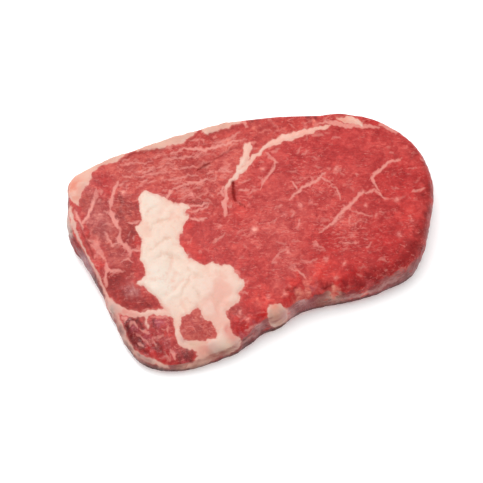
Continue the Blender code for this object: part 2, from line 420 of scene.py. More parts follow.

# Creases in the fat, darkened with painted shade: half-width in pixels, depth in millimetres,
# how strongly the painted shade shows, and the path
FAT_CREASES = (
    (1.8, 0.30, 0.8, ((150, 230), (153, 226), (158, 222), (163, 220), (170, 219))),
    (1.8, 0.30, 0.8, ((150, 250), (156, 247), (164, 240), (170, 238))),
    (1.9, 0.35, 0.9, ((156, 259), (163, 254), (172, 256), (180, 260))),
    (1.8, 0.30, 0.8, ((190, 276), (187, 283), (184, 290), (181, 296))),
    (1.6, 0.25, 0.7, ((193, 288), (198, 294), (199, 301))),
    (1.7, 0.25, 0.7, ((186, 267), (197, 276), (205, 277))),
    (1.5, 0.20, 0.6, ((146, 216), (150, 209), (157, 206))),
    (1.5, 0.20, 0.6, ((213, 297), (219, 304), (220, 312))),
    (1.8, 0.35, 1.0, ((183, 342), (190, 344), (200, 344), (207, 343))),
)

# Slits and grooves between the muscles, darkened with painted shade: half-width in pixels,
# depth in millimetres, how dark the painted shade is, and the path
SLITS = (
    (1.9, 0.1, 1.0, ((232.8, 182), (233.3, 190), (234.3, 197), (236.5, 201))),
    (1.0, 0.1, 0.7, ((236.5, 201), (240, 203), (245, 207))),
    (1.3, 0.1, 0.9, ((197, 170.5), (203, 167), (210, 162.5))),
    (0.9, 0.1, 0.5, ((210, 162.5), (220, 156), (230, 150), (238, 146.5))),
    (1.5, 0.1, 0.5, ((120, 161.5), (132, 154), (150, 150.5), (165, 148))),
    (1.3, 0.1, 0.45, ((185, 145), (192, 138), (200, 132))),
    (1.3, 0.1, 0.45, ((203, 135), (214, 133), (228, 129.5), (240, 125.5))),
    (0.8, 0.1, 0.6, ((174, 201.5), (184, 201.5), (196, 203), (208, 203))),
    (1.5, 0.35, 0.55, ((87.5, 243), (90.5, 250), (94, 258))),
    (1.2, 0.35, 0.5, ((88, 233), (89, 239))),
    (1.0, 0.3, 0.5, ((79, 222), (83, 232), (86, 240))),
    (1.5, 0.45, 0.6, ((321, 289.5), (326, 287.5), (333, 285.5))),
    (1.8, 0.5, 0.5, ((124, 320), (127, 327), (130, 334), (132, 341), (137, 347), (148, 353))),
    (1.4, 0.35, 0.5, ((134, 317.5), (139, 321), (146, 328.5))),
    (1.2, 0.3, 0.5, ((152.5, 318), (153, 324), (155, 330))),
    (1.2, 0.3, 0.4, ((158, 346), (162, 352), (166, 358))),
    (1.2, 0.4, 0.55, ((284, 291), (288, 289), (292, 290.5), (297, 287))),
    (1.0, 0.3, 0.35, ((239, 320), (244, 316), (250, 313))),
    (1.0, 0.2, 0.25, ((306, 287), (311, 285), (317, 283), (326, 279))),
    (1.0, 0.2, 0.25, ((112, 190), (108, 197), (107, 204))),
    (1.2, 0.2, 0.25, ((122, 200), (119, 208), (121, 216))),
    (1.0, 0.2, 0.25, ((101, 236), (105, 244), (110, 251))),
)

# Swells and hollows: place, radius in pixels, and height in millimetres
BUMPS = (
    (275, 315, 9, 0.9), (298, 300, 6, -0.5), (326, 288, 7, -0.8), (352, 270, 10, 0.5),
    (383, 268, 12, 0.4), (335, 291, 5, 0.3), (262, 326, 7, -0.4), (230, 348, 9, 0.5),
    (205, 356, 7, -0.4), (130, 324, 6, 0.5), (158, 324, 7, 0.6), (150, 340, 7, -0.4),
    (166, 350, 7, 0.5), (135, 340, 6, -0.6), (186, 356, 7, 0.3), (70, 222, 8, 0.5),
    (82, 254, 5, -0.4), (134, 291, 8, 0.3), (240, 322, 9, 0.4), (263, 309, 8, 0.3),
    (172, 222, 12, 0.3), (162, 281, 14, 0.35), (215, 285, 12, 0.25), (198, 328, 12, 0.25),
    (290, 287, 8, 0.35), (317, 277, 7, 0.3), (71, 238, 10, 0.9), (108, 306, 9, 0.6),
    (370, 292, 15, 0.6), (345, 298, 12, 0.4), (408, 272, 10, 0.4),
)

# Soft patches of colour on the muscle, the side wall's membrane and the fat: tone, place,
# radius in pixels, and strength. Later patches lie over earlier ones.
MUSCLE_PATCHES = (
    ("upper_red", 345, 140, 34, 0.8), ("upper_red", 300, 150, 26, 0.7),
    ("right_red", 405, 185, 30, 0.8), ("right_red", 390, 235, 26, 0.6),
    ("eye_pink", 290, 215, 26, 0.6), ("eye_pink", 272, 238, 20, 0.5),
    ("low_red", 325, 245, 26, 0.7), ("low_red", 385, 245, 24, 0.8),
    ("low_red", 255, 260, 20, 0.3), ("eye_pink", 350, 222, 14, 0.3),
    ("eye_pink", 292, 262, 14, 0.7),
    ("cap_pink", 125, 170, 26, 0.9), ("cap_pink", 155, 165, 26, 0.9),
    ("cap_pink", 190, 172, 28, 0.9), ("cap_pink", 213, 185, 22, 0.8),
    ("cap_pink", 228, 155, 20, 0.8), ("cap_red", 160, 158, 10, 0.5),
    ("cap_red", 215, 138, 14, 0.7), ("cap_red", 205, 200, 12, 0.6),
    ("cap_pink", 265, 130, 16, 0.6), ("cap_red", 292, 124, 14, 0.7),
    ("dark_spot", 252, 121, 4, 0.7), ("coral", 256, 127, 3, 0.5),
    ("dark_spot", 204, 167, 6, 0.35),
    ("left_pink", 95, 198, 16, 0.9), ("left_pink", 95, 225, 18, 0.9),
    ("left_pink", 106, 226, 14, 1.0), ("left_brown", 122, 208, 11, 0.9),
    ("left_brown", 132, 225, 12, 0.8), ("left_brown", 112, 247, 13, 0.8),
    ("left_pink", 117, 258, 12, 0.7), ("left_brown", 128, 238, 11, 0.8),
    ("right_red", 105, 182, 8, 0.9), ("right_red", 104, 194, 7, 0.9),
    ("left_brown", 86, 202, 8, 0.9), ("dark_spot", 102, 200, 3.5, 0.6),
    ("dark_spot", 122, 200, 5, 0.7), ("dark_spot", 117, 214, 4, 0.7),
    ("dark_spot", 123, 218, 5, 0.6), ("dark_spot", 132, 208, 5, 0.6),
    ("coral", 119.5, 206, 3, 0.6), ("coral", 128, 196, 3, 0.5), ("coral", 130, 217, 3, 0.4),
    ("dark_spot", 104, 232, 4, 0.5), ("dark_spot", 95, 232, 3.5, 0.6),
    ("front_red", 136, 242, 7, 0.5), ("dark_spot", 134, 232, 5, 0.5),
    ("front_red", 77, 207, 3.5, 0.9), ("front_red", 79, 219, 3.5, 0.8),
    ("front_red", 83, 229, 4.5, 0.9), ("front_red", 86, 238, 4.5, 0.9),
    ("coral", 94, 239, 5, 0.6), ("eye_pink", 99, 247, 7, 0.8), ("coral", 101, 256, 4, 0.5),
    ("eye_pink", 104, 262, 6, 0.6), ("front_red", 99, 266, 5, 0.7),
    ("cap_red", 101, 280, 4.5, 0.9), ("left_brown", 128, 268, 10, 0.7),
    ("brown_red", 112, 284, 12, 1.0), ("brown_red", 126, 299, 14, 1.0),
    ("brown_red", 145, 306, 11, 1.0), ("brown_red", 120, 276, 9, 0.7),
    ("mauve_sheen", 134, 291, 6, 0.9), ("mauve_sheen", 129, 296, 4, 0.5),
    ("corner_red", 135, 332, 16, 1.0), ("corner_red", 155, 340, 18, 1.0),
    ("corner_red", 172, 352, 14, 1.0), ("corner_dark", 128.5, 319.5, 3.2, 1.0),
    ("corner_dark", 138, 320.5, 3.5, 1.0), ("corner_dark", 143, 325.5, 3, 0.9),
    ("corner_dark", 128, 328, 4.5, 1.0), ("corner_dark", 133, 338, 6, 1.0),
    ("corner_dark", 138, 345, 5, 1.0), ("corner_dark", 153.5, 324, 3, 0.9),
    # The corner's mauve patches: partly the lean's own mauve, partly painted highlights of wet
    # folds
    ("corner_mauve_and_highlight", 135, 330, 3.5, 0.9), ("corner_mauve_and_highlight", 160, 323, 5, 1.0),
    ("corner_mauve_and_highlight", 146, 337, 4, 0.5), ("corner_dark", 157, 346, 3.5, 0.5),
    ("front_red", 150, 351, 6, 0.9), ("front_red", 157, 356, 4, 0.8),
    ("front_red", 166, 357, 4, 0.9), ("bright_red", 170, 334, 4, 0.5),
    # Pink patches: on the corner, painted highlights of wet folds; below the small dark muscle,
    # pink-red lean
    ("pink_and_highlight", 125, 319, 2.5, 0.8), ("pink_and_highlight", 174, 354, 3, 0.6),
    ("small_dark", 187, 355, 8, 1.0), ("pink_and_highlight", 186, 362.5, 4, 0.8),
    ("island_red", 198, 328, 20, 1.0), ("cap_red", 206, 327, 6, 0.6),
    ("eye_pink", 192, 323, 5, 0.5),
    ("bright_red", 186, 226, 7, 0.6), ("bright_red", 187, 243, 8, 0.4),
    ("bright_red", 200, 256, 8, 0.5), ("bright_red", 240, 212, 8, 0.4),
    ("low_red", 328, 247, 12, 0.6),
    ("bright_red", 262, 300, 14, 0.6), ("left_brown", 233, 311, 7, 0.8),
    ("left_pink", 240, 311, 4, 0.7), ("coral", 257, 300, 4, 0.5),
    ("front_red", 239, 328, 8, 1.0), ("bright_red", 250, 321, 4, 0.8),
    ("front_red", 262, 314, 6, 1.0), ("front_red", 288, 294, 9, 1.0),
    ("coral", 284, 294, 3, 0.5), ("front_red", 299, 284, 6, 0.9),
    ("bright_red", 294, 281, 5, 0.6), ("bright_red", 328, 268, 12, 0.5),
    ("bright_red", 316, 276, 7, 0.6), ("front_red", 350, 272, 11, 0.9),
    ("front_red", 338, 280, 6, 0.8), ("deep_red", 374, 268, 8, 0.35),
    # Deep red along the right rim, where the top rolls off: partly the lean's own tone, partly
    # painted shade
    ("bright_red", 408, 214, 9, 0.3), ("deep_red", 414, 152, 6, 0.8),
    ("deep_red", 429, 192, 9, 1.0), ("deep_red", 424, 232, 9, 0.9),
    ("deep_red", 431, 165, 8, 0.9), ("deep_red", 404, 254, 9, 0.8),
    ("deep_red", 432, 212, 8, 0.9), ("deep_red", 418, 249, 9, 1.0),
    ("front_red", 381, 176, 5, 0.5), ("front_red", 400, 166, 5, 0.4),
    ("deep_red", 411, 243, 6, 0.6), ("right_red", 380, 258, 10, 0.7),
    ("front_red", 370, 121.5, 7, 1.0), ("front_red", 328, 119, 6, 0.8),
    ("coral", 337, 119.5, 5, 0.9), ("dark_spot", 311, 117, 4, 0.8),
    ("coral", 316, 123, 3.5, 0.6), ("coral", 306, 276, 3.2, 0.9),
    ("shoulder_red", 345, 285, 7, 1.0), ("shoulder_red", 358, 282, 8, 1.0),
    ("shoulder_red", 371, 277, 7, 1.0), ("shoulder_red", 384, 272, 7, 0.9),
    ("shoulder_red", 398, 266, 6, 0.9), ("shoulder_red", 410, 258, 6, 0.7),
    ("shoulder_red", 327, 288, 6, 1.0), ("shoulder_red", 297, 293, 4, 0.8),
    ("edge_mauve", 234, 341, 5, 0.8), ("edge_mauve", 242, 335, 4, 1.0),
    ("edge_mauve", 250, 329, 3.5, 0.9), ("edge_mauve", 258, 324, 4, 0.9),
    ("edge_mauve", 314, 290, 3.5, 0.8), ("coral", 307, 284, 4.2, 1.0),
    ("strip_tan", 305, 292, 4.5, 1.0), ("strip_tan", 301, 298, 5.5, 1.0),
    ("strip_tan", 333, 294, 5, 0.9), ("coral", 228, 144, 5, 0.6), ("coral", 205, 150, 4, 0.5),
    ("eye_pink", 222, 172, 15, 0.6), ("eye_pink", 218, 192, 9, 0.4),
    ("eye_pink", 275, 285, 9, 0.6), ("eye_pink", 187, 235, 5, 0.6),
    ("eye_pink", 226, 155, 9, 0.7), ("small_dark", 187, 357, 6, 0.7),
    ("deep_red", 135, 338, 8, 0.5), ("edge_mauve", 370, 286, 5, 0.4),
    ("left_pink", 98, 212, 8, 0.5), ("left_pink", 104, 236, 8, 0.5),
    ("deep_red", 89, 243, 4, 0.6),
)
WALL_PATCHES = (
    ("wall_purple", 254, 333, 13, 0.9), ("wall_haze", 242, 335, 5, 0.5),
    ("wall_dark", 247, 343, 6, 0.8), ("wall_dark", 263, 333, 5, 0.7),
    ("wall_red", 352, 282, 13, 1.0), ("wall_rose", 380, 282, 12, 0.9),
    ("wall_rose", 362, 291, 9, 0.8), ("wall_grey", 405, 270, 13, 0.9),
    ("wall_dark", 408, 277, 5, 0.6), ("wall_dark", 396, 284, 4, 0.4),
    ("wall_purple", 314, 297, 9, 0.9), ("wall_crimson", 325, 287, 5.5, 0.95),
    ("wall_crimson", 341, 289, 3.5, 0.6), ("wall_brown", 322, 303, 7, 0.7),
    ("wall_brown", 341, 301, 6, 0.6), ("wall_dark", 297, 311, 4.5, 0.9),
    ("wall_haze", 287, 313, 8, 0.95), ("wall_red", 290, 304, 4, 0.6),
    ("wall_cream", 306, 288, 5, 1.0), ("wall_haze", 302, 298, 5, 0.9),
    ("wall_haze", 299, 305, 4, 0.7), ("wall_cream", 333, 295, 6.5, 1.0),
    ("wall_cream", 335, 288, 4, 0.8), ("wall_pale", 69, 222, 9, 1.0),
    ("wall_haze", 258, 325, 5, 0.9), ("wall_grey", 248, 332, 5, 0.9),
    ("wall_grey", 240, 342, 6, 0.9), ("wall_grey", 268, 322, 4, 0.8),
    ("wall_pale", 71, 213, 5, 0.8), ("wall_pale", 72, 232, 5, 0.8),
    ("wall_brick", 75, 246, 8, 1.0), ("wall_crimson", 73, 248, 3.5, 0.4),
    ("wall_lavender", 86, 259, 7, 1.0), ("wall_lavender", 91, 269, 5, 0.9),
    ("wall_dark", 95, 281, 5, 0.9), ("wall_dark", 101, 292, 4, 0.9),
    ("wall_haze", 110, 308, 8, 0.9), ("wall_dark", 110, 316, 3, 0.8),
    ("wall_pale", 124, 334, 9, 0.9), ("wall_dark", 118.5, 331, 3.5, 0.9),
    ("wall_dark", 126, 345, 3.5, 0.5), ("wall_pale", 142, 359, 8, 0.8),
    ("wall_dark", 150, 366, 5, 0.9), ("wall_dark", 158, 369, 4, 0.7),
    ("wall_pale", 163, 365, 5, 0.8), ("wall_cream", 184, 368, 9, 0.8),
    ("wall_rose", 214, 356, 9, 0.9), ("wall_dark", 206, 363, 6, 0.6),
    ("wall_brown", 230, 352, 6, 0.6), ("wall_dark", 284, 327, 5, 0.5),
    ("wall_red", 428, 235, 9, 0.9), ("wall_red", 434, 200, 9, 0.9),
    ("wall_grey", 168, 369, 5, 0.8), ("wall_grey", 152, 365, 5, 0.5),
    ("wall_red", 76, 246, 5, 0.7), ("wall_haze", 303, 301, 4, 0.8),
    ("wall_purple", 298, 307, 4, 0.7), ("wall_grey", 119, 333, 6, 0.8),
    ("wall_grey", 142, 360, 5, 0.8),
)
FAT_PATCHES = (
    ("white_fat", 162, 280, 20, 0.8), ("white_fat", 158, 205, 14, 0.5),
    ("peach", 225, 290, 20, 0.7), ("peach", 215, 312, 20, 0.9), ("peach", 178, 212, 12, 0.4),
    ("white_fat", 161, 282, 15, 0.9), ("white_fat", 150, 200, 8, 0.5),
    ("white_fat", 205, 285, 9, 0.4), ("pink_fat", 205, 348, 18, 0.9),
    ("blush_fat", 203, 350, 7, 0.7), ("mauve_fat", 213, 347, 5, 0.8),
    ("tan", 228, 348, 9, 0.9), ("pink_fat", 185, 335, 9, 0.6), ("blush_fat", 228, 330, 8, 1.0),
    ("pink_fat", 222, 288, 18, 0.6), ("pink_fat", 214, 312, 14, 0.6),
    ("wall_lavender", 184, 339, 4, 0.7),
    ("rim_fat", 105, 160, 22, 1.0), ("rim_fat", 140, 146, 24, 1.0),
    ("rim_fat", 180, 134, 26, 1.0), ("rim_fat", 222, 122, 24, 1.0),
    ("salmon", 76, 190, 16, 1.0), ("peach", 90, 172, 8, 0.6), ("blush_fat", 125, 313, 22, 0.9),
    ("blush_fat", 104, 288, 22, 0.9), ("haze_fat", 109, 308, 7, 1.0),
    ("haze_fat", 80, 240, 30, 0.8), ("haze_fat", 98, 276, 16, 0.7),
    ("pink_fat", 165, 312, 8, 0.6), ("seam_fat", 262, 150, 22, 0.8),
    ("seam_fat", 300, 133, 28, 1.0), ("pink_fat", 230, 190, 14, 1.0),
    ("salmon", 342, 120, 16, 0.8), ("peach", 351, 119, 5, 0.6),
    ("peach", 246, 155, 12, 0.8), ("grey_fat", 276, 317, 14, 1.0), ("salmon", 274, 305, 5, 0.9),
    ("blush_fat", 234, 337, 5, 0.8), ("mauve_fat", 236, 344, 5, 0.5),
    ("grey_fat", 212, 359, 9, 0.8), ("grey_fat", 196, 366, 9, 0.8),
    ("foot_tan", 218, 359, 8, 0.9), ("foot_tan", 195, 369, 6, 0.7),
    ("hazy_rim", 110, 313, 7, 0.9), ("pale_rim", 71, 219, 10, 1.0),
    ("tan", 196, 343, 9, 0.6), ("blush_fat", 146, 322, 7, 0.9),
    ("haze_fat", 122, 333, 11, 0.9), ("haze_fat", 143, 357, 12, 0.8),
    ("rim_fat", 162, 364, 12, 0.8), ("hazy_rim", 119, 331, 8, 0.9),
    ("hazy_rim", 129, 348, 8, 0.9), ("hazy_rim", 139, 357, 7, 0.9),
    ("hazy_rim", 150, 362, 7, 0.9), ("wall_pale", 123, 340, 4, 0.5),
    ("haze_fat", 286, 315, 6, 0.9), ("foot_tan", 220, 353, 6, 0.9),
)

# Where marbling flecks are dense, above 0.5, or sparse, below it: soft patches with their
# level, place and radius in pixels
FLECK_PATCHES = (
    (0.9, 290, 262, 16), (0.95, 352, 228, 24), (0.95, 312, 178, 20), (0.8, 255, 235, 16),
    (0.8, 190, 170, 40), (0.7, 140, 170, 30), (0.3, 345, 150, 16), (0.2, 190, 240, 14),
    (0.25, 240, 322, 12), (0.3, 130, 298, 16), (0.3, 350, 270, 14), (0.8, 265, 225, 22),
    (0.25, 300, 288, 12), (0.75, 118, 215, 18), (0.3, 425, 190, 12), (0.7, 200, 330, 14),
)

# Where the side wall has no membrane and the lean shows: level, place and radius as above.
# Below zero, the membrane reaches further over the shoulder.
BARE_PATCHES = (
    (-1.0, 72, 225, 7), (-1.0, 80, 245, 7), (-1.0, 90, 264, 7), (-0.8, 99, 280, 6),
    (-1.0, 118, 325, 8), (-1.0, 126, 342, 8), (-1.0, 137, 355, 9), (-1.0, 152, 361, 9),
    (-1.0, 168, 368, 8),
    (1.0, 350, 274, 12), (0.9, 332, 278, 9), (0.9, 300, 284, 8), (0.8, 262, 316, 7),
    (0.9, 242, 330, 8), (0.7, 372, 272, 9), (1.0, 432, 168, 13), (1.0, 433, 188, 13),
    (1.0, 432, 208, 13), (0.9, 429, 226, 11), (0.8, 424, 244, 9), (0.9, 418, 252, 7),
    (0.8, 346, 284, 8), (0.9, 359, 282, 8), (0.8, 372, 277, 7), (0.6, 386, 271, 7),
    (0.6, 398, 265, 7), (0.7, 321, 289, 5), (0.9, 303, 292, 6), (0.6, 333, 292, 4),
)

# Where the surface is folded and very wet: level, place and radius as above
FOLD_PATCHES = (
    (1.0, 132, 330, 13), (1.0, 150, 342, 14), (0.8, 168, 352, 12), (0.6, 130, 292, 9),
    (0.6, 290, 290, 11), (0.6, 318, 280, 12), (0.5, 240, 322, 11), (0.5, 80, 232, 9),
    (0.5, 186, 356, 8), (0.4, 352, 270, 11), (0.4, 185, 235, 9),
)


def smooth_share(value, low, high):
    """0 below low, 1 above high, and an even S between them."""
    share = np.clip((value - low) / (high - low), 0.0, 1.0)
    return share * share * (3 - 2 * share)


def view_axes():
    """Unit vectors of the photograph's camera: right, up, and back towards the camera."""
    back = np.array((
        math.sin(VIEW_AZIMUTH) * math.cos(VIEW_ELEVATION),
        -math.cos(VIEW_AZIMUTH) * math.cos(VIEW_ELEVATION),
        math.sin(VIEW_ELEVATION),
    ))
    right = np.array((math.cos(VIEW_AZIMUTH), math.sin(VIEW_AZIMUTH), 0.0))
    return right, np.cross(back, right), back


def photo_place(places):
    """Where points of the model are seen in the photograph, in pixels."""
    right, up, back = view_axes()
    away = places - (np.array(VIEW_TARGET) + back * VIEW_DISTANCE)
    pixel = SENSOR_MM / LENS_MM / PHOTO_SIDE
    depth = -(away @ back)
    across = (away @ right) / depth / pixel + PHOTO_SIDE / 2
    down = -(away @ up) / depth / pixel + PHOTO_SIDE / 2
    return np.stack((across, down), axis=1)


def make_camera():
    data = bpy.data.cameras.new("photo_camera")
    data.lens = LENS_MM
    data.sensor_width = SENSOR_MM
    data.clip_start = 0.01
    camera = bpy.data.objects.new("photo_camera", data)
    back = Vector(view_axes()[2])
    camera.location = VIEW_TARGET + back * VIEW_DISTANCE
    camera.rotation_euler = (-back).to_track_quat("-Z", "Y").to_euler()
    bpy.context.scene.collection.objects.link(camera)
    bpy.context.scene.camera = camera


def evaluated_mesh(obj, name):
    """The object's modifiers made into a plain mesh of the given name."""
    seen = obj.evaluated_get(bpy.context.evaluated_depsgraph_get())
    mesh = bpy.data.meshes.new_from_object(seen)
    mesh.name = name
    return mesh


def fine_surface(node):
    """An even, fine and smooth mesh of the CAD solid."""
    cage = bmesh.new()
    cage.from_mesh(node.data)
    bmesh.ops.remove_doubles(cage, verts=cage.verts, dist=SAME_CORNER)
    bmesh.ops.join_triangles(
        cage, faces=cage.faces, angle_face_threshold=math.radians(40),
        angle_shape_threshold=math.radians(60),
    )
    mesh = bpy.data.meshes.new("steak_form")
    cage.to_mesh(mesh)
    cage.free()
    form = bpy.data.objects.new("steak_form", mesh)
    bpy.context.scene.collection.objects.link(form)
    rounding = form.modifiers.new("rounding", "SUBSURF")
    rounding.levels = ROUNDING_LEVELS
    rounding.render_levels = ROUNDING_LEVELS
    even = form.modifiers.new("even_mesh", "REMESH")
    even.mode = "VOXEL"
    even.voxel_size = MESH_STEP
    settle = form.modifiers.new("settle", "SMOOTH")
    settle.factor = SMOOTHING_STRENGTH
    settle.iterations = SMOOTHING_ROUNDS
    fine = evaluated_mesh(form, "steak")
    bpy.data.objects.remove(form)
    return fine


def read_vectors(mesh, source, name):
    values = np.empty(len(mesh.vertices) * 3)
    source.foreach_get(name, values)
    return values.reshape(-1, 3)


def lifted_to_top(places, mesh):
    """Each point moved straight up to the highest surface above it."""
    tree = BVHTree.FromPolygons(
        [vert.co for vert in mesh.vertices], [face.vertices for face in mesh.polygons]
    )
    above = 1.0
    lifted = places.copy()
    for i, (x, y, _) in enumerate(places):
        hit = tree.ray_cast(Vector((x, y, above)), Vector((0, 0, -1)))[0]
        if hit is not None:
            lifted[i, 2] = hit.z
    return lifted


def anatomy_places(places, normals, mesh):
    """The pixel that each point of the surface takes its anatomy from.

    What the camera sees takes its own pixel. The rest, which is the underside and the
    far walls, takes the pixel of the upper face above it, because muscles and fat run
    through the whole thickness.
    """
    own = photo_place(places)
    through = photo_place(lifted_to_top(places, mesh))
    x, y = places[:, 0] / MM, places[:, 1] / MM
    under = smooth_share(-normals[:, 2], *FACING_DOWN)[:, None]
    # Slow waves, each with a length of its own in millimetres
    across = np.sin(y / 9 + 1.0) + np.sin(x / 13)
    down = np.sin(x / 11) + np.sin(y / 15)
    wander = np.stack((across, down), axis=1)
    through = through + wander * under * UNDERSIDE_WANDER_PX / 2
    facing = smooth_share(normals @ view_axes()[2], *FACING_CAMERA)[:, None]
    return own * facing + through * (1 - facing)


def rounded_outline(points):
    """A closed outline with its corners cut once."""
    points = np.array(points, dtype=float)
    after = np.roll(points, -1, axis=0)
    kept = 1 - CORNER_CUT
    near = points * kept + after * CORNER_CUT
    far = points * CORNER_CUT + after * kept
    return np.stack((near, far), axis=1).reshape(-1, 2)


def wobbled(pixels, size):
    """Places moved a little by smooth waves of several wavelengths."""
    chance = np.random.default_rng(WOBBLE_SEED)
    moved = pixels.copy()
    for wavelength in WOBBLE_WAVES:
        for axis in (0, 1):
            angle, phase = chance.uniform(0, 2 * math.pi, 2)
            across = pixels @ np.array((math.cos(angle), math.sin(angle))) / wavelength
            moved[:, axis] += size * np.sin(2 * math.pi * across + phase)
    return moved


def marbling_streaks():
    """Short bent streaks strewn over the lean, more of them where flecks are dense."""
    chance = np.random.default_rng(MARBLING_SEED)
    rows = []
    for low, high, count, mean_heading, spread, longest, strongest in MARBLING:
        spots = chance.uniform(low, high, (count, 2))
        bends = math.radians(spread) * BEND_SHARE
        for spot, density in zip(spots, level_field(spots, 0.5, FLECK_PATCHES)):
            heading = math.radians(chance.normal(mean_heading, spread))
            bend = chance.normal(0, bends)
            step = chance.uniform(longest * SHORTEST_STEP, longest)
            path = [spot]
            for _ in range(MARBLING_STEPS):
                path.append(path[-1] + step * np.array((math.cos(heading), math.sin(heading))))
                heading += bend + chance.normal(0, bends)
            half_width = chance.uniform(*MARBLING_HALF_WIDTHS)
            strength = chance.uniform(FAINTEST_MARBLING, strongest)
            if chance.random() < density:
                rows.append((half_width, strength, tuple(path)))
    return tuple(rows)


def from_line(pixels, start, end):
    """For each pixel, how far along a straight line its nearest point is, and the distance."""
    along = end - start
    away = pixels - start
    share = np.clip(away @ along / (along @ along), 0, 1)
    return share, np.hypot(*(away - share[:, None] * along).T)


def inside_distance(pixels, outline):
    """Distance in pixels to an outline, above zero inside it."""
    corners = rounded_outline(outline)
    nearest = np.full(len(pixels), FAR_AWAY)
    inside = np.zeros(len(pixels), dtype=bool)
    for start, end in zip(corners, np.roll(corners, -1, axis=0)):
        _, distance = from_line(pixels, start, end)
        nearest = np.minimum(nearest, distance)
        crosses = (start[1] > pixels[:, 1]) != (end[1] > pixels[:, 1])
        # A level side is given the least slope, so that nothing is divided by zero
        across, down = end - start
        down = down or 1 / FAR_AWAY
        at = start[0] + (pixels[:, 1] - start[1]) * across / down
        inside ^= crosses & (pixels[:, 0] < at)
    return np.where(inside, nearest, -nearest)


def shares_passed(path):
    """The share of a path's length that is passed at each of its points."""
    lengths = np.hypot(*np.diff(path, axis=0).T)
    return np.concatenate(([0.0], np.cumsum(lengths))) / lengths.sum()


def along_path(pixels, path):
    """Signed offset across a path, distance to it, and the share of it passed, per pixel."""
    path = np.array(path, dtype=float)
    passed = shares_passed(path)
    offset = np.zeros(len(pixels))
    nearest = np.full(len(pixels), FAR_AWAY)
    share_along = np.zeros(len(pixels))
    for i, (start, end) in enumerate(zip(path, path[1:])):
        share, distance = from_line(pixels, start, end)
        along = end - start
        away = pixels - start
        side = np.sign(along[0] * away[:, 1] - along[1] * away[:, 0])
        here = passed[i] + share * (passed[i + 1] - passed[i])
        closer = distance < nearest
        nearest = np.where(closer, distance, nearest)
        offset = np.where(closer, distance * side, offset)
        share_along = np.where(closer, here, share_along)
    return offset, nearest, share_along


def band_distance(pixels, band):
    """Distance in pixels inside a band whose half-width changes along it."""
    rows = np.array(band, dtype=float)
    _, distance, share = along_path(pixels, rows[:, :2])
    return np.interp(share, shares_passed(rows[:, :2]), rows[:, 2]) - distance


def fat_fields(pixels):
    """Millimetres inside fat, below zero in muscle, and how much of a narrow band it is."""
    inside = np.full(len(pixels), -FAR_AWAY)
    for outline in FAT_OUTLINES:
        inside = np.maximum(inside, inside_distance(pixels, outline))
    inside = np.minimum(inside, -inside_distance(pixels, MUSCLE_ISLAND))
    bands = np.max([band_distance(pixels, band) for band in FAT_BANDS], axis=0)
    narrow = smooth_share(bands - inside, -1.0, 1.0)
    depth = np.maximum(inside, bands) / PIXELS_PER_MM
    return np.clip(depth, -FAT_LIMIT_MM, FAT_LIMIT_MM), narrow


def streak_field(pixels, streaks):
    """Per point: signed offset across its streak, half-width there, and strength.

    The half-width falls below zero past a streak's ends and away from it, so the pattern
    stays sharp between the points of the mesh and never shows between two streaks.
    """
    best = np.full(len(pixels), -STREAK_SURROUND)
    field = np.tile((0.0, -STREAK_SURROUND / PIXELS_PER_MM, 0.0), (len(pixels), 1))
    for half_width, strength, path in streaks:
        low = np.min(path, axis=0) - STREAK_SURROUND
        high = np.max(path, axis=0) + STREAK_SURROUND
        near = np.flatnonzero(np.all((pixels > low) & (pixels < high), axis=1))
        offset, distance, share = along_path(pixels[near], path)
        towards_end = np.abs(2 * share - 1) ** 3
        half = half_width * (1 - STREAK_NARROWING * towards_end)
        half = half - np.maximum(distance - STREAK_REACH, 0)
        ended = (share <= 0) | (share >= 1)
        half = np.where(ended, half - distance, half)
        closer = half - distance > best[near]
        taken = near[closer]
        best[taken] = (half - distance)[closer]
        field[taken, 0] = offset[closer] / PIXELS_PER_MM
        field[taken, 1] = half[closer] / PIXELS_PER_MM
        field[taken, 2] = (strength * (1 - STREAK_FADING * towards_end))[closer]
    return field


def groove_field(pixels, grooves):
    """Depth of the grooves in millimetres, and how strongly they show, 0 to 1."""
    depth = np.zeros(len(pixels))
    shown = np.zeros(len(pixels))
    for half_width, deep, strength, path in grooves:
        _, distance, along = along_path(pixels, path)
        taper = 1 - GROOVE_NARROWING * np.abs(2 * along - 1) ** 3
        share = np.exp(-((distance / half_width / taper) ** 2))
        depth = np.maximum(depth, deep * share)
        shown = np.maximum(shown, strength * share)
    return depth, shown


def soft_spot(pixels, x, y, radius):
    """1 in the middle of a spot, falling softly to 0 around it."""
    away = np.hypot(pixels[:, 0] - x, pixels[:, 1] - y) / radius
    return np.exp(-(away**2))


def surface_colour(tone):
    """A tone of the photograph as the surface's own linear colour under these lights.

    The picture's sRGB curve is undone first, and then the lights' own part is taken out.
    """
    shown = np.array(TONES[tone]) / 255
    linear = np.where(shown <= 0.04045, shown / 12.92, ((shown + 0.055) / 1.055) ** 2.4)
    light = LIGHT_ON_WALL if tone.startswith("wall") else LIGHT_ON_LEVEL
    return np.maximum(linear - GLOSS_ADDED, DARKEST_COLOUR) / light


def paint(tone):
    return (*surface_colour(tone), 1.0)


def painted(pixels, ground, patches):
    """Colours per point: soft patches laid over a ground, which is one tone or colours."""
    if isinstance(ground, str):
        ground = np.tile(surface_colour(ground), (len(pixels), 1))
    colours = ground.copy()
    for tone, x, y, radius, strength in patches:
        share = (soft_spot(pixels, x, y, radius) * strength)[:, None]
        colours = colours * (1 - share) + surface_colour(tone) * share
    return colours


def level_field(pixels, ground, patches):
    """A number per point: soft patches of it laid over the ground value."""
    levels = np.full(len(pixels), ground)
    for level, x, y, radius in patches:
        share = soft_spot(pixels, x, y, radius)
        levels = levels * (1 - share) + level * share
    return levels


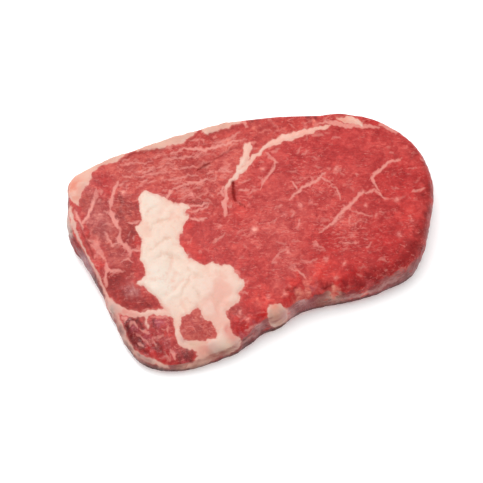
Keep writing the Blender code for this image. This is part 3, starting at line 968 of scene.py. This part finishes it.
def add_field(mesh, name, values):
    """Writes a number, a vector or a colour per point, by how wide the rows of values are."""
    kinds = {1: ("FLOAT", "value"), 3: ("FLOAT_VECTOR", "vector"), 4: ("FLOAT_COLOR", "color")}
    width = 1 if values.ndim == 1 else values.shape[1]
    kind, slot = kinds[width]
    field = mesh.attributes.new(name, kind, "POINT")
    field.data.foreach_set(slot, values.astype(np.float32).ravel())


def add_colours(mesh, name, colours):
    add_field(mesh, name, np.concatenate((colours, np.ones((len(colours), 1))), axis=1))


def add_anatomy(mesh):
    """Writes every field of the anatomy to the mesh's points."""
    places = read_vectors(mesh, mesh.vertices, "co")
    normals = read_vectors(mesh, mesh.vertex_normals, "vector")
    pixels = anatomy_places(places, normals, mesh)
    at_outlines = wobbled(pixels, OUTLINE_WOBBLE)
    at_streaks = wobbled(pixels, STREAK_WOBBLE)

    fat, narrow = fat_fields(at_outlines)
    add_field(mesh, "fat", fat)
    add_field(mesh, "narrow", narrow)
    streaks = STREAKS + marbling_streaks()
    for i, name in enumerate(STREAK_LAYERS):
        add_field(mesh, name, streak_field(at_streaks, streaks[i::len(STREAK_LAYERS)]))
    add_field(mesh, "flecks", level_field(pixels, 0.5, FLECK_PATCHES))

    blobs = tuple(("streak", *blob) for blob in FAT_BLOBS)
    muscle = painted(wobbled(pixels, PATCH_WOBBLE), "eye_red", MUSCLE_PATCHES)
    add_colours(mesh, "muscle_tone", painted(at_outlines, muscle, blobs))
    add_colours(mesh, "wall_tone", painted(at_streaks, "wall_mauve", WALL_PATCHES))
    add_colours(mesh, "fat_tone", painted(pixels, "cream", FAT_PATCHES))

    wall = smooth_share(1 - np.abs(normals[:, 2]), *WALL_LEAN)
    bare = level_field(pixels, 0.0, BARE_PATCHES)
    add_field(mesh, "wall", wall)
    add_field(mesh, "membrane", wall * (1 - bare))

    slit_depth, slit = groove_field(at_outlines, SLITS)
    crease_depth, crease = groove_field(at_streaks, FAT_CREASES)
    carved = -slit_depth - crease_depth
    for x, y, radius, rise in BUMPS:
        carved += rise * soft_spot(pixels, x, y, radius)
    add_field(mesh, "slit", slit)
    add_field(mesh, "crease", crease)
    add_field(mesh, "carved", carved)
    add_field(mesh, "folds", level_field(pixels, 0.0, FOLD_PATCHES))


class NodeMaker:
    """Adds nodes to one tree. An input takes a socket or a plain value."""

    def __init__(self, tree):
        self.tree = tree

    def add(self, kind, inputs=None, **settings):
        node = self.tree.nodes.new(kind)
        for name, value in settings.items():
            setattr(node, name, value)
        for name, value in (inputs or {}).items():
            self.feed(node.inputs[name], value)
        return node

    def feed(self, socket, value):
        if isinstance(value, bpy.types.NodeSocket):
            self.tree.links.new(value, socket)
        else:
            socket.default_value = value

    def math(self, operation, *values):
        node = self.add("ShaderNodeMath", operation=operation)
        for socket, value in zip(node.inputs, values):
            self.feed(socket, value)
        return node.outputs[0]

    def plus(self, first, second):
        return self.math("ADD", first, second)

    def less(self, first, second):
        return self.math("SUBTRACT", first, second)

    def times(self, first, second):
        return self.math("MULTIPLY", first, second)

    def centred(self, value):
        """A pattern of 0 to 1 moved to lie evenly about zero."""
        return self.less(value, 0.5)

    def ramp(self, value, low, high, start=0.0, end=1.0):
        """An even S from start to end as value goes from low to high."""
        inputs = {
            "Value": value, "From Min": low, "From Max": high, "To Min": start, "To Max": end,
        }
        return self.add("ShaderNodeMapRange", inputs, interpolation_type="SMOOTHSTEP").outputs[0]

    def noise(self, vector, name):
        """The named pattern of the table of noises, at the given coordinates."""
        scale, detail, roughness, distortion = NOISES[name]
        inputs = {
            "Vector": vector, "Scale": scale, "Detail": detail, "Roughness": roughness,
            "Distortion": distortion,
        }
        return self.add("ShaderNodeTexNoise", inputs).outputs[0]

    def mix(self, share, first, second, blend="MIX"):
        """Two colours mixed. The node's colour sockets come after its number sockets."""
        node = self.add("ShaderNodeMix", data_type="RGBA", blend_type=blend)
        self.feed(node.inputs[0], share)
        self.feed(node.inputs[6], first)
        self.feed(node.inputs[7], second)
        return node.outputs[2]


def relief_tree():
    """Moves the surface in and out along its normals, by the anatomy's fields and noise."""
    tree = bpy.data.node_groups.new("raw_meat_relief", "GeometryNodeTree")
    sockets = tree.interface
    sockets.new_socket("Geometry", in_out="INPUT", socket_type="NodeSocketGeometry")
    for name, value in RELIEF_SIZES.items():
        size = sockets.new_socket(name, in_out="INPUT", socket_type="NodeSocketFloat")
        size.default_value = value
    sockets.new_socket("Meat Material", in_out="INPUT", socket_type="NodeSocketMaterial")
    sockets.new_socket("Geometry", in_out="OUTPUT", socket_type="NodeSocketGeometry")
    make = NodeMaker(tree)
    given = make.add("NodeGroupInput").outputs
    spot = make.add("GeometryNodeInputPosition").outputs[0]

    def field(name):
        node = make.add("GeometryNodeInputNamedAttribute", {"Name": name}, data_type="FLOAT")
        return node.outputs["Attribute"]

    def changed(operation, change):
        """The surface's coordinates moved or stretched."""
        inputs = {0: spot, 1: change}
        return make.add("ShaderNodeVectorMath", inputs, operation=operation).outputs[0]

    shifted = changed("ADD", PATTERN_SHIFT)
    tall = changed("MULTIPLY", WRINKLE_STRETCH)
    fat = make.ramp(field("fat"), -0.3, 2.5)
    lumps = make.ramp(make.noise(spot, "lobes"), 0.3, 0.7)
    fine_lumps = make.centred(make.noise(shifted, "fine_lumps"))
    both_lumps = make.plus(lumps, make.times(fine_lumps, FINE_LUMP_SHARE))
    swell = make.centred(make.noise(shifted, "swell"))
    ridges = make.math("ABSOLUTE", make.centred(make.noise(spot, "folds")))
    ridges = make.less(FOLD_WIDTH, ridges)
    wrinkles = make.centred(make.noise(tall, "wrinkles"))
    edge = make.math("DIVIDE", field("fat"), EDGE_GROOVE_WIDTH)
    edge = make.math("EXPONENT", make.times(make.times(edge, edge), -1.0))
    parts = (
        make.times(make.times(both_lumps, fat), given["Fat Lumps"]),
        make.times(swell, given["Muscle Swell"]),
        make.times(make.times(ridges, field("folds")), given["Wet Folds"]),
        make.times(make.times(wrinkles, field("wall")), given["Wall Wrinkles"]),
        make.times(edge, make.times(given["Edge Groove"], -1.0)),
        field("carved"),
    )
    total = parts[0]
    for part in parts[1:]:
        total = make.plus(total, part)
    height = make.add("ShaderNodeSeparateXYZ", {0: spot}).outputs[2]
    off_foot = make.ramp(height, *RELIEF_STARTS)
    total = make.times(make.times(total, off_foot), MM)
    normal = make.add("GeometryNodeInputNormal").outputs[0]
    push = make.add("ShaderNodeVectorMath", {0: normal}, operation="SCALE")
    make.feed(push.inputs["Scale"], total)
    moved = make.add(
        "GeometryNodeSetPosition",
        {"Geometry": given["Geometry"], "Offset": push.outputs[0]},
    )
    real = make.add("GeometryNodeRealizeInstances", {"Geometry": moved.outputs[0]})
    dressed = make.add(
        "GeometryNodeSetMaterial",
        {"Geometry": real.outputs[0], "Material": given["Meat Material"]},
    )
    make.add("NodeGroupOutput", {"Geometry": dressed.outputs[0]})
    return tree


def meat_material():
    """Wet raw beef: muscle with marbling and grain, fat, and the side wall's membrane."""
    material = bpy.data.materials.new("raw_beef")
    material.use_nodes = True
    tree = material.node_tree
    shader = tree.nodes["Principled BSDF"]
    make = NodeMaker(tree)
    place = make.add("ShaderNodeTexCoord").outputs["Object"]

    def field(name, output="Fac"):
        return make.add("ShaderNodeAttribute", attribute_name=name).outputs[output]

    def turned(angle, stretch):
        """Coordinates whose pattern is drawn out along a direction in plan."""
        node = make.add("ShaderNodeMapping", vector_type="TEXTURE")
        make.feed(node.inputs["Vector"], place)
        node.inputs["Rotation"].default_value = (0, 0, math.radians(angle))
        node.inputs["Scale"].default_value = (stretch, 1, 1)
        return node.outputs[0]

    along_grain = turned(*GRAIN)
    along_fibre = turned(*FIBRE)
    along_wall = make.add("ShaderNodeMapping", {"Vector": place, "Scale": WALL_STRETCH})
    along_wall = along_wall.outputs[0]

    # Ragged edges: the fat's outline wanders at two sizes, less on narrow bands
    ragged = make.centred(make.noise(along_grain, "ragged"))
    coarse = make.centred(make.noise(place, "coarse"))
    raggedness = make.ramp(field("narrow"), 0.0, 1.0, 1.6, 0.8)
    fat_edge = make.plus(field("fat"), make.times(ragged, raggedness))
    fat_edge = make.plus(fat_edge, coarse)
    fat_share = make.ramp(fat_edge, -0.45, 0.45)
    film_edge = make.ramp(fat_edge, -1.6, 0.3)

    # Fine fibre, mottling and blotches of the lean, and where its texture is strongest
    fibre = make.noise(along_fibre, "fibre")
    mottle = make.noise(place, "mottle")
    blotch = make.noise(place, "blotch")
    patchy = make.ramp(make.noise(place, "patches"), 0.36, 0.60, 0.25, 1.0)

    # Streaks: a soft line with a ragged, broken edge in each of three layers
    broken = make.times(make.centred(mottle), 1.4)
    broken = make.plus(broken, make.times(coarse, 0.8))
    streak_share = 0.0
    for name in STREAK_LAYERS:
        parts = make.add("ShaderNodeSeparateXYZ", {0: field(name, "Vector")}).outputs
        offset = make.plus(parts[0], make.times(ragged, 0.8))
        offset = make.math("ABSOLUTE", offset)
        inside = make.plus(make.less(parts[1], offset), broken)
        share = make.times(make.ramp(inside, -0.60, 0.50), parts[2])
        streak_share = make.math("MAXIMUM", streak_share, share)

    # Marbling: flecks along the grain, and thin crooked veins where a noise crosses its middle
    density = field("flecks")
    cut_off = make.ramp(density, 0.0, 1.0, 0.64, 0.50)
    fleck_noise = make.noise(along_grain, "flecks")
    fleck = make.ramp(make.less(fleck_noise, cut_off), 0.0, 0.09)
    fleck = make.times(fleck, patchy)
    from_vein = make.math("ABSOLUTE", make.centred(make.noise(along_grain, "veins")))
    vein = make.ramp(from_vein, 0.0, VEIN_WIDTH, 1.0, 0.0)
    vein = make.times(vein, make.ramp(mottle, 0.46, 0.60))
    vein = make.times(vein, make.ramp(density, 0.1, 0.9, 0.15, 0.75))

    def varied(colour, share, tints, amount=1.0):
        """The colour multiplied by a tint that goes from the first to the second by share."""
        first, second = tints
        change = make.mix(share, (*first, 1), (*second, 1))
        return make.mix(amount, colour, change, "MULTIPLY")

    lean = field("muscle_tone", "Color")
    for pattern, tints, amount in (
        (blotch, BLOTCH_TINTS, 1.0), (mottle, MOTTLE_TINTS, 1.0), (fibre, FIBRE_TINTS, patchy),
    ):
        lean = varied(lean, make.ramp(pattern, 0.34, 0.66), tints, amount)
    lean = make.mix(make.times(fleck, 0.42), lean, paint("fleck"))
    lean = make.mix(make.times(vein, 0.6), lean, paint("fleck"))

    # The side wall: thin grey-mauve membrane with drawn-out threads, pale and dark
    threads = make.noise(along_wall, "threads")
    clouds = make.noise(along_wall, "clouds")
    film = field("wall_tone", "Color")
    film = make.mix(make.ramp(clouds, 0.46, 0.68, 0.0, 0.5), film, paint("wall_red"))
    film = make.mix(make.ramp(threads, 0.52, 0.70, 0.0, 0.45), film, paint("wall_thread"))
    film = make.mix(make.ramp(threads, 0.50, 0.32, 0.0, 0.6), film, paint("wall_shade"))
    wander = make.plus(make.times(coarse, 1.3), make.times(ragged, 0.9))
    wander = make.plus(wander, make.times(make.centred(clouds), 2.2))
    wander = make.times(wander, make.ramp(field("membrane"), 0.02, 0.4))
    wall_share = make.ramp(make.plus(field("membrane"), wander), 0.3, 0.85)
    lean = make.mix(wall_share, lean, film)

    # Fat: cream to salmon, with a random pink-tan tint of its own, painted shade (tan) in the
    # hollows between its lobes and along its creases, painted highlights (whiter) on the lobes'
    # crests, and pinker at its edges
    lobes = make.noise(place, "lobes")
    pink_tan = make.ramp(make.noise(place, "pink_tan"), 0.50, 0.72, 0.0, 0.4)
    fat_colour = make.mix(pink_tan, field("fat_tone", "Color"), paint("pink_tan"))
    # Painted shade, a pink-tan tint, in the hollows between the lobes, and painted highlights,
    # whiter fat, on their crests
    fat_colour = make.mix(make.ramp(lobes, 0.32, 0.46, 0.4, 0.0), fat_colour, paint("pink_tan"))
    fat_colour = make.mix(make.ramp(lobes, 0.50, 0.66, 0.0, 0.3), fat_colour, paint("white_fat"))
    # Painted shade: the creases in the fat darkened to tan
    crease = make.times(field("crease"), make.ramp(mottle, 0.3, 0.7, 0.15, 0.6))
    fat_colour = make.mix(crease, fat_colour, paint("crease_shade_tan"))
    rosy = make.ramp(fat_edge, 0.2, 1.8, 0.5, 0.0)
    fat_colour = make.mix(rosy, fat_colour, paint("pink_fat"))
    lean = make.mix(make.times(film_edge, 0.35), lean, paint("edge_pink"))
    streak_colour = make.mix(wall_share, paint("streak"), paint("wall_thread"))
    lean = make.mix(streak_share, lean, streak_colour)
    fatty = make.mix(fat_share, lean, fat_colour)
    on_wall = make.times(wall_share, make.ramp(clouds, 0.42, 0.62, 0.1, 0.6))
    fatty = make.mix(on_wall, fatty, field("wall_tone", "Color"))
    # Painted shade: the slits and grooves darkened to a deep red
    open_slit = make.times(field("slit"), make.ramp(mottle, 0.36, 0.56, 0.8, 1.0))
    fatty = make.mix(open_slit, fatty, paint("slit_shade_red"))

    # Painted shade: the foot of the side wall is darkened where it meets the table
    height_up = make.add("ShaderNodeSeparateXYZ", {0: place}).outputs[2]
    foot_shade_edge = make.plus(height_up, make.times(coarse, FOOT_SHADE_WANDER))
    foot = make.ramp(foot_shade_edge, *FOOT_SHADE_HEIGHTS, 1.0, 0.0)
    foot = make.times(foot, make.ramp(field("wall"), 0.0, 0.5))
    finished = varied(fatty, make.ramp(foot, 0.0, 1.0), FOOT_SHADE_TINTS)
    make.feed(shader.inputs["Base Color"], finished)

    # Gloss: wet film on the lean, duller fat, wettest in the folds
    rough = make.ramp(make.noise(place, "damp"), 0.32, 0.68, 0.26, 0.50)
    rough = make.plus(rough, make.times(fat_share, 0.08))
    rough = make.less(rough, make.times(field("folds"), 0.12))
    make.feed(shader.inputs["Roughness"], rough)
    shine = make.ramp(field("wall"), 0.2, 0.9, 0.28, 0.16)
    shine = make.plus(shine, make.times(field("folds"), 0.05))
    shine = make.times(shine, make.ramp(field("slit"), 0.2, 0.7, 1.0, 0.2))
    make.feed(shader.inputs["Specular IOR Level"], shine)
    shader.inputs["Metallic"].default_value = 0.0
    shader.inputs["IOR"].default_value = 1.4
    shader.inputs["Subsurface Weight"].default_value = 0.12
    shader.inputs["Subsurface Radius"].default_value = (1.0, 0.35, 0.22)
    shader.inputs["Subsurface Scale"].default_value = 1.2 * MM

    # Fine relief that is smaller than the mesh
    height = make.times(fibre, 0.5)
    height = make.plus(height, make.times(fleck_noise, 0.5))
    height = make.plus(height, make.times(mottle, 0.9))
    calm = make.less(1.0, make.times(fat_share, 0.6))
    height = make.times(height, calm)
    height = make.plus(height, make.times(streak_share, 0.25))
    bump = make.add("ShaderNodeBump", {"Strength": 0.5, "Distance": 0.5 * MM, "Height": height})
    make.feed(shader.inputs["Normal"], bump.outputs[0])
    return material


def make_steak():
    """The visible steak: the fine surface with its anatomy, relief and material."""
    mesh = fine_surface(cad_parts["steak"])
    add_anatomy(mesh)
    rough_cut = bpy.data.objects.new("steak_rough_cut", mesh)
    bpy.context.scene.collection.objects.link(rough_cut)
    material = meat_material()
    tree = relief_tree()
    relief = rough_cut.modifiers.new("relief", "NODES")
    relief.node_group = tree
    sockets = {item.name: item.identifier for item in tree.interface.items_tree
               if item.in_out == "INPUT"}
    for name, value in RELIEF_SIZES.items():
        relief[sockets[name]] = value
    relief[sockets["Meat Material"]] = material
    finished = evaluated_mesh(rough_cut, "steak_surface")
    bpy.data.objects.remove(rough_cut)
    finished.shade_smooth()
    steak = bpy.data.objects.new("beef_steak", finished)
    bpy.context.scene.collection.objects.link(steak)
    return steak


def make_floor():
    """A plain white table top that stays white in the light."""
    mesh = bpy.data.meshes.new("floor")
    far = HALF_FLOOR
    corners = [(-far, -far, 0), (far, -far, 0), (far, far, 0), (-far, far, 0)]
    mesh.from_pydata(corners, [], [(0, 1, 2, 3)])
    material = bpy.data.materials.new("white_table")
    material.use_nodes = True
    shader = material.node_tree.nodes["Principled BSDF"]
    shader.inputs["Base Color"].default_value = (0.94, 0.94, 0.94, 1)
    shader.inputs["Roughness"].default_value = 0.9
    shader.inputs["Specular IOR Level"].default_value = 0.1
    shader.inputs["Emission Color"].default_value = (1, 1, 1, 1)
    shader.inputs["Emission Strength"].default_value = 0.10
    mesh.materials.append(material)
    floor = bpy.data.objects.new("floor", mesh)
    bpy.context.scene.collection.objects.link(floor)
    return floor


def make_light():
    """Even studio light from all round, with a broad soft key from above and behind."""
    world = bpy.data.worlds.new("studio")
    world.use_nodes = True
    sky = world.node_tree.nodes["Background"]
    sky.inputs["Color"].default_value = (1, 1, 1, 1)
    sky.inputs["Strength"].default_value = ROOM_LIGHT
    bpy.context.scene.world = world
    for name, size, energy, location in LAMPS:
        data = bpy.data.lights.new(name, "AREA")
        data.shape = "DISK"
        data.size = size
        data.energy = energy
        lamp = bpy.data.objects.new(name, data)
        lamp.location = location
        lamp.rotation_euler = (-Vector(location)).to_track_quat("-Z", "Y").to_euler()
        bpy.context.scene.collection.objects.link(lamp)
    bpy.context.scene.view_settings.view_transform = "Standard"


make_camera()
make_light()
make_floor()
steak = make_steak()
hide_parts("steak")
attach(steak, "root")
